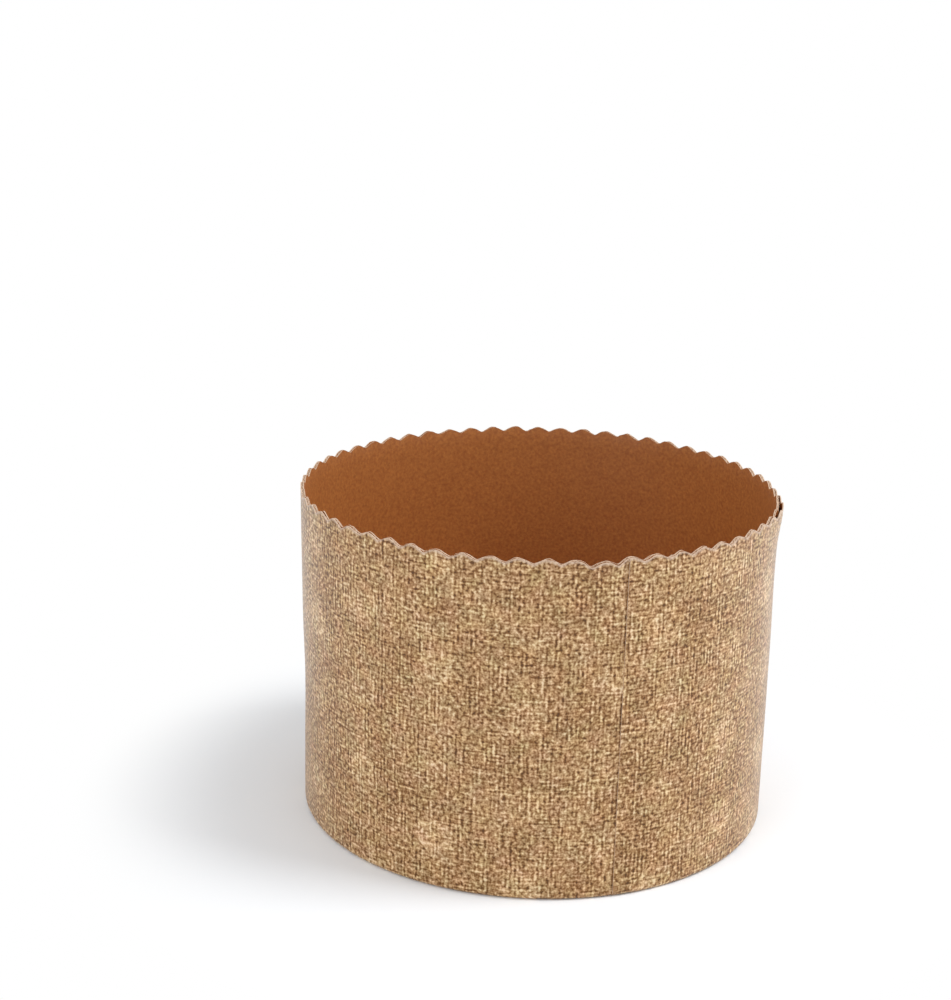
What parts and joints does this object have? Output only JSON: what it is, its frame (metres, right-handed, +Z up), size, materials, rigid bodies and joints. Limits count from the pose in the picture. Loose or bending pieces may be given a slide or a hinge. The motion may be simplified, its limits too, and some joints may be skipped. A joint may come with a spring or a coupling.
{
  "type": "panettone paper mold",
  "caption": "Tall round paper baking mold with a scalloped rim, a microflute wall of two plies and a loose base disc with needle holes.",
  "frame": {"origin": "middle of the face the mold stands on", "axes": "+Z up through the open mouth; the front faces -Y, and the glued lap lies 19.7 degrees to the right of it"},
  "size_m": [0.134, 0.134, 0.095],
  "materials": {
    "printed_paper": "coated kraft paper printed with a fine brown linen weave, satin",
    "brown_greaseproof": "brown greaseproof paper, smooth inside, fluted outside, matt",
    "natural_kraft": "unprinted kraft board, faintly ribbed, matt"
  },
  "bodies": {
    "root": {"printed_outer_ply": "printed_paper", "fluted_inner_ply": "brown_greaseproof", "base_disc": "natural_kraft"}
  },
  "joints": []
}
